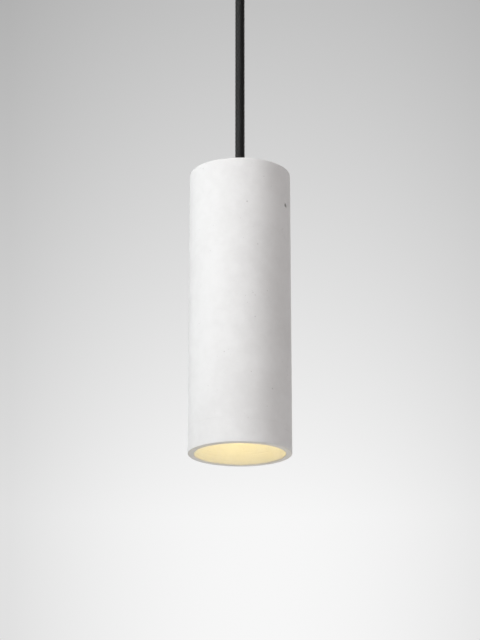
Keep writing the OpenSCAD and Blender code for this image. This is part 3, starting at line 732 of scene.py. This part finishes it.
MATERIALS = {material.name.split(".")[0]: material for material in (
    grained("canopy_paint", (0.013, 0.013, 0.014), (0.019, 0.019, 0.020), (0.42, 0.56), 1900.0, 0.07),
    grained("black_metal", (0.016, 0.016, 0.017), (0.024, 0.024, 0.025), (0.30, 0.44), 2600.0, 0.02),
    brushed("zinc_steel", (0.47, 0.48, 0.49), (0.60, 0.61, 0.61), (0.30, 0.46), (1, 26, 26)),
    brushed("steel", (0.46, 0.46, 0.47), (0.58, 0.58, 0.58), (0.20, 0.34), (1, 1, 20)),
    brushed("brass", (0.53, 0.38, 0.15), (0.69, 0.53, 0.25), (0.22, 0.36), (1, 1, 20)),
    brushed("tinned_copper", (0.52, 0.52, 0.50), (0.66, 0.65, 0.63), (0.26, 0.40)),
    brushed("contact_bronze", (0.54, 0.38, 0.19), (0.70, 0.53, 0.30), (0.25, 0.38)),
    grained("nylon", (0.70, 0.68, 0.61), (0.79, 0.77, 0.71), (0.38, 0.50), 900.0, 0.02,
            Subsurface_Weight=0.15),
    grained("rubber", (0.017, 0.017, 0.017), (0.026, 0.026, 0.026), (0.66, 0.82), 2400.0, 0.04),
    grained("live_insulation", (0.13, 0.050, 0.018), (0.17, 0.068, 0.026), (0.32, 0.44), 700.0, 0.02),
    grained("neutral_insulation", (0.016, 0.080, 0.32), (0.024, 0.10, 0.38), (0.32, 0.44), 700.0, 0.02),
    striped_material(),
    woven_material(),
    grained("ceramic", (0.74, 0.72, 0.65), (0.83, 0.81, 0.75), (0.50, 0.66), 1200.0, 0.03),
    grained("lamp_plastic", (0.77, 0.77, 0.74), (0.83, 0.83, 0.81), (0.36, 0.50), 1600.0, 0.025),
    grained("led_board", (0.79, 0.78, 0.75), (0.85, 0.84, 0.81), (0.34, 0.48)),
    grained("circuit_board", (0.04, 0.16, 0.06), (0.06, 0.22, 0.085), (0.34, 0.5)),
    lens_material(),
)}


# ---------------- detailed pieces


def fit(name, mesh, node, smooth_angle=40.0):
    """A piece that stands for a CAD node, in the material of that node's slot."""
    piece = new_object(name, mesh, MATERIALS[slot_of(node)], smooth_angle)
    stand_for(piece, node)
    return piece


def add_extra(name, mesh, slot, body):
    """A piece that stands for no CAD node."""
    piece = new_object(name, mesh, MATERIALS[slot])
    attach(piece, body)


def extent(node):
    """Radius, low z and high z of a round CAD node, in mm."""
    low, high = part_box(node)
    return high.y / MM, low.z / MM, high.z / MM


FLUTE_END = 0.8


def groove(turn, count):
    """The depth across a row of rounded grooves, from 0 between them to 1 in their middles."""
    return (0.5 - 0.5 * cos(TURN * turn * count)) ** 2


def flutes(count, depth, from_r, low=-inf, high=inf):
    """A shape with rounded grooves along Z on the wall outside from_r, between two heights."""
    def shape(turn, r, z):
        if r < from_r or not low < z < high:
            return r
        ease = min(1.0, (z - low) / FLUTE_END, (high - z) / FLUTE_END)
        return r - depth * ease * groove(turn, count)
    return shape


def knurl(count, depth, from_r, slant):
    """A shape with a diamond knurl on the wall outside from_r. slant is in ridges for each mm."""
    def shape(turn, r, z):
        if r < from_r:
            return r
        one = abs(sin(pi * (turn * count + z * slant)))
        two = abs(sin(pi * (turn * count - z * slant)))
        return r - depth * (1 - min(one, two))
    return shape


def threaded(outer_r, pitch, depth):
    """A shape with a screw thread on the wall at outer_r."""
    def shape(turn, r, z):
        if abs(r - outer_r) > 0.02:
            return r
        ramp = (z / pitch - turn) % 1.0
        return r - depth * abs(2 * ramp - 1)
    return shape


def hexagon(flats):
    """A shape cut down to a hexagon with its corners on the X axis and every 60 degrees."""
    def shape(turn, r, z):
        from_flat = turn * 360 % 60 - 30
        return min(r, flats / 2 / cos(radians(abs(from_flat))))
    return shape


# Radius and pitch of the fine M10 thread, its tube's bore, the hole of a nut on it, the hole of
# a washer round it, and the hole that the cable leaves a nut by.
M10_R = 5.0
M10_PITCH = 1.0
BORE_R = 3.7
M10_NUT_R = M10_R + 0.05
M10_WASHER_R = M10_R + 0.2
CABLE_HOLE_R = 3.6


def threaded_tube(name, node):
    """Tube with an M10 fine thread and a plain bore."""
    _, low, high = extent(node)
    outline = fine_outline(ring_bar(M10_R, BORE_R, low, high, 0.25), M10_PITCH / 6)
    fit(name, lathe(outline, 60, threaded(M10_R, M10_PITCH, 0.28)), node, 70.0)


def hex_nut(name, node, flats):
    """Hexagonal nut with its corners turned down at both faces."""
    _, low, high = extent(node)
    bore = M10_R + 0.02
    rim = 0.5
    corner = flats / 2 / cos(radians(30))
    face_r = flats / 2 * 0.94
    turned_h = (corner - face_r) * 0.55
    outline = [(bore, low + rim), (bore + rim, low), (face_r, low), (corner, low + turned_h),
               (corner, high - turned_h), (face_r, high), (bore + rim, high), (bore, high - rim)]
    fit(name, lathe(fine_outline(outline, 0.7), 120, hexagon(flats)), node, 25.0)


def build_grip():
    """The cord grip under the canopy: its tube, nut, washer, flange, soft sleeve and cap nut."""
    threaded_tube("grip_thread", "grip_tube")
    hex_nut("grip_nut", "grip_locknut", 14)

    _, low, high = extent("grip_toothed_washer")
    ring = fine_outline(ring_bar(8.0, M10_WASHER_R, low, high, 0.12, 2), 0.6)
    fit("grip_washer", lathe(ring, 216, flutes(18, 1.1, 6.5)), "grip_toothed_washer")

    r, low, high = extent("grip_body")
    neck_r, sleeve_r = 6.0, 4.55
    flange_low = high - 8.0
    corners = [
        (sleeve_r, low, 0.2), (neck_r, low, 0.3), (neck_r, flange_low, 0.2), (r, flange_low, 0.5),
        (r, high, 0.3), (M10_NUT_R, high, 0.1), (M10_NUT_R, flange_low, 0.0),
        (sleeve_r, flange_low, 0.0),
    ]
    body = lathe(fine_outline(rounded(corners, 3), 0.7), 192,
                 flutes(24, 0.35, 6.6, flange_low + 1.2, high - 1.2))
    fit("grip_flange", body, "grip_body")

    _, low, high = extent("grip_collet")
    slits = flutes(6, 0.5, 4.0, low - 1, high - 3)
    sleeve = fine_outline(ring_bar(4.5, 3.33, low, high, 0.2), 0.6)
    fit("grip_sleeve", lathe(sleeve, 96, slits), "grip_collet")

    r, low, high = extent("grip_cap")
    cone_high = low + 3.0
    inner_r = neck_r + 0.05
    corners = [
        (CABLE_HOLE_R, low, 0.9), (neck_r, low, 0.9), (r, cone_high, 1.2), (r, high, 0.4),
        (inner_r, high, 0.15), (inner_r, cone_high, 0.0), (CABLE_HOLE_R, cone_high, 0.3),
    ]
    cap = lathe(fine_outline(rounded(corners, 5), 0.6), 192,
                flutes(24, 0.45, 7.2, cone_high + 0.6, high - 0.9))
    fit("grip_cap_nut", cap, "grip_cap")


def build_collar():
    """The collar nut on the shade's top face, and the washer under it."""
    r, low, high = extent("collar")
    lip = 1.5
    corners = [
        (M10_NUT_R, low, 0.0), (r, low, 0.3), (r, high, 1.1), (CABLE_HOLE_R, high, 0.7),
        (CABLE_HOLE_R, high - lip, 0.2), (M10_NUT_R, high - lip, 0.0),
    ]
    mesh = lathe(fine_outline(rounded(corners, 5), 0.35), 240, knurl(48, 0.22, r - 0.02, 0.85))
    fit("collar_nut", mesh, "collar", 60.0)
    r, low, high = extent("collar_washer")
    fit("collar_pad", lathe(ring_bar(r, M10_WASHER_R, low, high, 0.3), 96), "collar_washer")


def build_thumb_screws():
    """Two knurled thumb screws, each with a threaded shank, through the canopy's side."""
    tip, wall, head_end = 43.5, 50.0, 54.0
    side_z = -8.0
    shank_r, head_r, dimple_r = 2.0, 4.0, 1.9
    shank_end, dimple_end = wall + 0.3, head_end - 0.5
    both = bmesh.new()
    for side in (1, -1):
        shank = rounded([(0, tip, 0), (shank_r, tip, 0.5), (shank_r, shank_end, 0),
                         (0, shank_end, 0)], 2)
        head = rounded([(0, wall, 0), (head_r, wall, 0.35), (head_r, head_end, 0.5),
                        (dimple_r + 0.3, head_end, 0.3), (dimple_r, dimple_end, 0.2),
                        (0, dimple_end, 0)], 4)
        turn = Matrix.Translation((0, 0, side_z * MM)) @ Matrix.Rotation(side * pi / 2, 4, "Y")
        for outline, step, segments, shape in (
                (shank, 0.12, 40, threaded(shank_r, 0.7, 0.22)),
                (head, 0.25, 144, knurl(30, 0.22, head_r - 0.05, 1.0))):
            add_to(both, lathe(fine_outline(outline, step), segments, shape, closed=False), turn)
    fit("thumb_screws", both, "canopy_side_screws", 60.0)


def build_hanger():
    """The threaded tube through the shade's top with its nuts and washers."""
    threaded_tube("hanger_thread", "hanger_tube")
    hex_nut("hanger_nut", "inner_nut", 17)
    hex_nut("strap_nut", "strap_locknut", 17)
    for name, node, edge in (("hanger_pad", "inner_rubber_washer", 0.5),
                             ("hanger_plate", "inner_steel_washer", 0.3)):
        r, low, high = extent(node)
        fit(name, lathe(ring_bar(r, M10_WASHER_R, low, high, edge), 120), node)


def build_tails():
    """The cable's hidden ends: braid, with a neat heat-shrunk band round each cut end."""
    band_mm = 3.0
    cut_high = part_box("cable_tail_top")[1].z
    cut_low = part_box("cable_tail_bottom")[0].z
    for name, node, cut, seam in (
            ("cable_tail_up", "cable_tail_top", cut_high, GRIP_INSIDE),
            ("cable_tail_down", "cable_tail_bottom", cut_low, TUBE_INSIDE)):
        piece = braided_tube(name, max(cut, seam), min(cut, seam))
        stand_for(piece, node)
        ends = (cut / MM, cut / MM + copysign(band_mm, seam - cut))
        band = lathe(ring_bar(3.28, 2.9, min(ends), max(ends), 0.15), 64)
        add_extra(name + "_band", band, "rubber", body_of(node))


# ---- wires


def curve_points(points, steps):
    """The smooth curve that the CAD source draws through its points."""
    ends = [2 * points[0] - points[1], *points, 2 * points[-1] - points[-2]]
    curve = []
    for a, b, c, d in zip(ends, ends[1:], ends[2:], ends[3:]):
        for step in range(steps):
            t = step / steps
            curve.append(0.5 * (2 * b + (c - a) * t + (2 * a - 5 * b + 4 * c - d) * t ** 2
                                + (3 * b - a - 3 * c + d) * t ** 3))
    curve.append(points[-1].copy())
    return curve


def wire(name, points_mm, radius_mm, node):
    """A smooth round wire through points in mm, with its wrap as UV: round it, and along it."""
    centres = curve_points([Vector(p) * MM for p in points_mm], 10)
    sides = 20
    mesh = bmesh.new()
    rings, lengths = [], [0.0]
    # Any direction that no wire starts along will do here.
    across = Vector((0.31, 0.62, 0.72))
    for i, centre in enumerate(centres):
        ahead = centres[min(i + 1, len(centres) - 1)] - centres[max(i - 1, 0)]
        ahead.normalize()
        across = (across - ahead * across.dot(ahead)).normalized()
        up = ahead.cross(across)
        rings.append([
            mesh.verts.new(centre + (across * cos(TURN * k / sides)
                                     + up * sin(TURN * k / sides)) * radius_mm * MM)
            for k in range(sides)
        ])
        if i:
            lengths.append(lengths[-1] + (centre - centres[i - 1]).length)
    uv = mesh.loops.layers.uv.new(WRAP_UV)
    for i, (upper, lower) in enumerate(zip(rings, rings[1:])):
        for k in range(sides):
            face = mesh.faces.new([upper[k], upper[(k + 1) % sides],
                                   lower[(k + 1) % sides], lower[k]])
            for loop, place in zip(face.loops, ((k, i), (k + 1, i), (k + 1, i + 1), (k, i + 1))):
                loop[uv].uv = (place[0] / sides, lengths[place[1]] / MM)
    for ring, centre in ((rings[0], centres[0]), (rings[-1], centres[-1])):
        join_rings(mesh, ring, [mesh.verts.new(centre)])
    fit(name, mesh, node)


def build_wires():
    """Every wire and lead, on the routes that the CAD source has.

    core is a wire's distance from the cable's middle, and pole is the distance between the
    terminals. The names that follow are the places of the cut jacket, the blocks and the rings.
    """
    core, pole = 1.6, 8.0
    r, lead_r = 0.9, 1.1
    spread = [radians(angle) for angle in (0, 120, 240)]
    cores = [(core * cos(angle), core * sin(angle)) for angle in spread]
    tail, block_z, block_in, block_out = -14.0, -7.0, 7.0, 23.0
    for colour, index, side in (("live", 2, -1), ("neutral", 1, 1)):
        x, y = cores[index]
        route = [(x, y, tail), (x, y, tail + 2.5), (0, side * pole / 2, block_z - 1),
                 (block_in / 2, side * pole, block_z), (block_in, side * pole, block_z)]
        wire(f"mains_wire_{colour}", route, r, f"top_wire_{colour}")
    x, y = cores[0]
    route = [(x, y, tail), (x, y, tail + 2.5), (3, 0, block_z - 1), (5, 0, block_z),
             (block_in, 0, block_z)]
    wire("mains_wire_earth", route, r, "top_wire_earth")
    barrel_z = -2.9
    route = [(block_out, 0, block_z), (block_out + 3, 0, block_z), (block_out + 5, 7, block_z - 3),
             (block_out, 16, block_z - 4), (8, 18, block_z - 3), (-6, 18, block_z),
             (-14, 16, barrel_z - 1), (-15, 13, barrel_z), (-15, 10, barrel_z)]
    wire("earth_jumper_wire", route, r, "earth_jumper")

    top = shade_high.z / MM
    tail, block_top, block_low = top - 47.5, top - 55.5, top - 71.5
    slant_x, slant_y = core * cos(radians(30)), core * sin(radians(30))
    for name, start, side in (
            ("live", (-slant_x, -slant_y), -1),
            ("neutral", (slant_x, -slant_y), 1),
            ("earth", (0, core), 0)):
        route = [(*start, tail), (*start, tail - 1.5), (side * pole, 0, block_top + 2.5),
                 (side * pole, 0, block_top)]
        wire(f"lamp_wire_{name}", route, r, f"lower_wire_{name}")
    holder_top, holder_split = top - 90.0, top - 95.0
    for name, side in (("live", -1), ("neutral", 1)):
        route = [(side * pole, 0, block_low), (side * pole, 0, block_low - 3),
                 (side * pole / 2, side * 6.3, holder_top + 6), (0, side * 9, holder_top + 3),
                 (0, side * 9, holder_split)]
        wire(f"heatproof_lead_{name}", route, lead_r, f"holder_lead_{name}")
    earth_z, barrel_x = top - 78.5, 16.6
    route = [(0, 0, block_low), (0, 0, block_low - 2), (2, -5, block_low - 4.5),
             (8, -13, earth_z + 1), (barrel_x - 2, -15, earth_z), (barrel_x, -13, earth_z),
             (barrel_x, -10, earth_z)]
    wire("strap_earth_wire", route, r, "strap_earth_lead")


# ---- lamp


def build_lamp():
    """The spot lamp: ribbed housing, ringed lens, light board with its chips, and driver board."""
    r, low, high = extent("lamp_housing")
    ring_top, ledge, waist = low + 5.0, low + 2.0, low + 17.0
    mouth_r, ledge_r, waist_r, neck_r, wall = 23.2, 21.4, 20.0, 14.0, 1.2
    corners = [
        (mouth_r, low, 0.4), (r, low, 0.8), (r, ring_top, 0.8), (waist_r, waist, 3.0),
        (neck_r, high, 0.4), (neck_r - wall, high, 0.3), (waist_r - wall, waist - 1.0, 3.0),
        (ledge_r, ring_top, 1.0), (ledge_r, ledge, 0.2), (mouth_r, ledge, 0.2),
    ]
    outline = fine_outline(rounded(corners, 4), 0.9)
    ribs_end, ribs_ease = 0.06, 0.08

    def ribs(turn, r_here, z):
        """Grooves between ribs on the outer wall, from the front ring to the neck."""
        share = (z - ring_top) / (high - ring_top)
        outside = r_here > neck_r + (r - neck_r) * max(0.0, 1 - share) * 0.62
        in_from_end = min(share, 1 - share) - ribs_end
        if in_from_end <= 0 or not outside:
            return r_here
        return r_here - 0.55 * min(1.0, in_from_end / ribs_ease) * groove(turn, 36)

    fit("spot_housing", lathe(outline, 288, ribs), "lamp_housing")

    r, low, high = extent("lamp_lens")
    dome_h, ring_h, rings = 0.35, 0.14, 44
    outline = [(0.0, low + dome_h)]
    for i in range(1, rings):
        here = (r - 0.6) * i / rings
        outline.append((here, low + dome_h * (1 - (here / r) ** 2) + ring_h * (i % 2)))
    outline += [(r - 0.3, low + 0.05), (r, low + 0.3), (r, high - 0.2), (r - 0.2, high),
                (0.0, high)]
    fit("spot_lens", lathe(outline, 144, closed=False), "lamp_lens")

    r, low, high = extent("lamp_led_board")
    chip_top = low + 0.6
    outline = rounded([(0, chip_top, 0), (r, chip_top, 0.15), (r, high, 0.15), (0, high, 0)], 2)
    board = lathe(outline, 120, closed=False)
    for index in range(LED_COUNT):
        chip = soft_box((LED_RING_MM - LED_HALF_MM, -LED_HALF_MM, low),
                        (LED_RING_MM + LED_HALF_MM, LED_HALF_MM, chip_top), 0.15)
        add_to(board, chip, Matrix.Rotation(TURN * index / LED_COUNT, 4, "Z"))
    fit("spot_light_board", board, "lamp_led_board")

    low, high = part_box("lamp_driver_board")
    z = low.z / MM
    board = soft_box((-8, -0.5, z), (8, 0.5, high.z / MM), 0.12)
    fit("driver_board", board, "lamp_driver_board")
    # The capacitor and the coil are turned round Z, then laid down to stand out from the board.
    lay = Matrix.Rotation(-pi / 2, 4, "X")
    outline = rounded([(0, 0.5, 0), (4.0, 0.5, 0.3), (4.0, 7.5, 0.6), (0, 7.5, 0)], 3)
    can = lathe(fine_outline(outline, 0.7), 64,
                lambda turn, r, h: r - (0.25 if 1.6 < h < 2.4 and r > 3.5 else 0), closed=False)
    can.transform(Matrix.Translation((0, 0, (z + 6) * MM)) @ lay)
    add_extra("driver_capacitor", can, "rubber", "lamp")
    coil = soft_box((-5, 0.5, z + 12), (3, 1.6, z + 19), 0.2)
    add_to(coil, soft_box((-5, 4.9, z + 12), (3, 6, z + 19), 0.2))
    add_to(coil, soft_box((-2.6, 1.5, z + 13.5), (0.6, 5.0, z + 17.5), 0.2))
    add_extra("driver_coil_core", coil, "rubber", "lamp")
    wire_gap = 0.42
    turns = lathe(fine_outline(ring_bar(3.0, 1.7, 1.7, 4.8, 0.2), 0.1), 48,
                  lambda turn, r, h: r - 0.08 * abs(sin(pi * h / wire_gap)))
    turns.transform(Matrix.Translation((-1 * MM, 0, (z + 15.5) * MM)) @ lay)
    add_extra("driver_coil_winding", turns, "contact_bronze", "lamp")


def weigh_normals(piece):
    """Lets the large faces set the shading, so flats stay flat beside their rounded edges."""
    data = piece.data
    normals = [Vector() for _ in data.vertices]
    for face in data.polygons:
        for index in face.vertices:
            normals[index] += face.normal * face.area
    data.normals_split_custom_set_from_vertices([normal.normalized() for normal in normals])


SHARP_ANGLE = radians(30)


def soften(node, edge_mm):
    """A new piece with a CAD node's shape, whose sharp edges are rounded a little."""
    mesh = bmesh.new()
    mesh.from_mesh(frame["nodes"][node].data)
    bmesh.ops.remove_doubles(mesh, verts=mesh.verts, dist=0.001 * MM)
    bmesh.ops.dissolve_limit(mesh, angle_limit=radians(0.5), verts=mesh.verts,
                             edges=mesh.edges)
    sharp = [edge for edge in mesh.edges
             if len(edge.link_faces) == 2 and edge.calc_face_angle(0.0) > SHARP_ANGLE]
    bmesh.ops.bevel(mesh, geom=sharp, offset=edge_mm * MM, segments=2, profile=0.5,
                    affect="EDGES", clamp_overlap=True)
    bmesh.ops.triangulate(mesh, faces=[face for face in mesh.faces if len(face.verts) > 4])
    weigh_normals(fit(node + "_soft", mesh, node, smooth_angle=180.0))


# Pieces whose CAD shape is right, with the rounding of their edges in mm.
SOFTENED = {
    "canopy": 0.25, "ceiling_bracket": 0.2, "hanger_strap": 0.2,
    "mains_terminal_body": 0.4, "lower_terminal_body": 0.4,
    "mains_terminal_inserts": 0.12, "lower_terminal_inserts": 0.12,
    "mains_terminal_screws": 0.08, "lower_terminal_screws": 0.08,
    "mains_terminal_fixings": 0.25, "strain_relief": 0.5, "strain_relief_screw": 0.15,
    "earth_ring": 0.12, "strap_earth_ring": 0.12, "earth_screw": 0.25, "strap_earth_screw": 0.25,
    "lampholder_body": 0.35, "lampholder_cover": 0.35, "lampholder_contacts": 0.1,
    "lampholder_screws": 0.2, "lampholder_nuts": 0.2, "lamp_base": 0.4, "lamp_pins": 0.25,
}

build_grip()
build_collar()
build_thumb_screws()
build_hanger()
build_tails()
build_wires()
build_lamp()
for node_name, edge in SOFTENED.items():
    soften(node_name, edge)


# ---------------- stage and light

FLOOR_Z = -0.95
FLOOR_R = 5.0
FLOOR_SOLID_R = 0.8
# How much brighter than its light the camera sees the floor, so that it is as pale as the backdrop.
FLOOR_LIFT = 0.30
WARM = (1.0, 0.957, 0.945)
COOL = (0.985, 1.0, 1.0)

# The backdrop's brightness falls between two heights of view, and to both sides of its middle.
BACKDROP_RISE = (sin(radians(12.0)), sin(radians(27.0)))
BACKDROP_SHADES = (0.930, 0.545)
BACKDROP_MIDDLE = 0.013
BACKDROP_REACH = 0.13
BACKDROP_SIDE_SHADE = 0.81
# Strength of the even light from the left and from the right, and of the light that only
# glossy surfaces reflect, from straight behind.
EVEN_LIGHT = (0.02, 0.17)
GLOSS_LIGHT = 0.45


def build_floor():
    """A pale floor below the light, which fades into the background at its edge."""
    shader = Shader("floor")
    where = shader.add("TexCoord").outputs["Object"]
    away = shader.add("VectorMath", {0: where}, operation="LENGTH").outputs["Value"]
    tone = shader.noise(where, 1.5, 2.0)
    seen = shader.add("LightPath").outputs["Is Camera Ray"]
    material = shader.finish(
        Base_Color=shader.mix(tone, (0.80, 0.80, 0.80), (0.84, 0.84, 0.84)),
        Roughness=0.9,
        Emission_Strength=shader.times(seen, FLOOR_LIFT),
        Alpha=shader.span(away, FLOOR_SOLID_R, FLOOR_R, 1.0, 0.0),
    )
    mesh = bmesh.new()
    bmesh.ops.create_circle(mesh, cap_ends=True, radius=FLOOR_R, segments=128)
    disc = new_object("floor", mesh, material)
    disc.location.z = FLOOR_Z


def build_world():
    """A plain grey studio backdrop that gets darker upwards, and a dimmer even light from it."""
    world = bpy.data.worlds.new("studio")
    scene.world = world
    world.use_nodes = True
    nodes = Nodes(world.node_tree)
    way = nodes.split(nodes.add("TexCoord").outputs["Generated"])

    rise = nodes.span(way["Z"], *BACKDROP_RISE, *BACKDROP_SHADES, smooth=False)
    aside = nodes.math("SUBTRACT", way["X"], BACKDROP_MIDDLE)
    fall = nodes.span(nodes.times(aside, aside), 0.0, BACKDROP_REACH ** 2,
                      1.0, BACKDROP_SIDE_SHADE, smooth=False)
    bright = nodes.times(rise, fall)
    seen = nodes.add("Background", {"Color": (1, 1, 1, 1), "Strength": bright})

    ray = nodes.add("LightPath").outputs
    even = nodes.span(way["X"], -1.0, 1.0, *EVEN_LIGHT, smooth=False)
    behind = nodes.span(way["Y"], 0.0, 1.0, 0.0, GLOSS_LIGHT, smooth=False)
    dim = nodes.math("ADD", even, nodes.times(ray["Is Glossy Ray"], behind))
    soft = nodes.add("Background", {"Color": (*WARM, 1), "Strength": dim})

    shaders = {0: ray["Is Camera Ray"], 1: soft.outputs[0], 2: seen.outputs[0]}
    both = nodes.add("MixShader", shaders)
    nodes.add("OutputWorld", {"Surface": both.outputs[0]})


def area_light(name, azimuth, elevation, distance, size, power, colour=(1.0, 1.0, 1.0)):
    """A soft light aimed at the middle of the shade. Azimuth is from the front towards +X."""
    aim = (shade_low + shade_high) / 2
    spin, rise = radians(azimuth), radians(elevation)
    out = Vector((sin(spin) * cos(rise), -cos(spin) * cos(rise), sin(rise)))
    data = bpy.data.lights.new(name, "AREA")
    data.shape = "RECTANGLE"
    data.size, data.size_y = size
    data.energy = power
    data.color = colour
    light = bpy.data.objects.new(name, data)
    light.location = aim + out * distance
    light.rotation_euler = out.to_track_quat("Z", "Y").to_euler()
    light.visible_camera = False
    scene.collection.objects.link(light)
    return light


def keep_off_cable(light):
    """Leaves the whole cable out of a light's beam, as a studio flag does."""
    skipped = bpy.data.collections.new(light.name + "_skips")
    for piece in scene.objects:
        if piece.name.startswith("cable_"):
            skipped.objects.link(piece)
    light.light_linking.receiver_collection = skipped
    for member in skipped.collection_objects:
        member.light_linking.link_state = "EXCLUDE"


build_floor()
build_world()
area_light("key", -50.5, 28, distance=1.5, size=(0.7, 0.7), power=21.1, colour=COOL)
front_fill = area_light("front_fill", 27, 29, distance=2.2, size=(1.9, 1.5), power=16.6,
                        colour=WARM)
keep_off_cable(front_fill)
area_light("back_fill", 160, 22, distance=2.2, size=(1.2, 1.2), power=14.0)
area_light("low_fill", 80, -72, distance=0.5, size=(0.3, 0.3), power=0.27, colour=WARM)
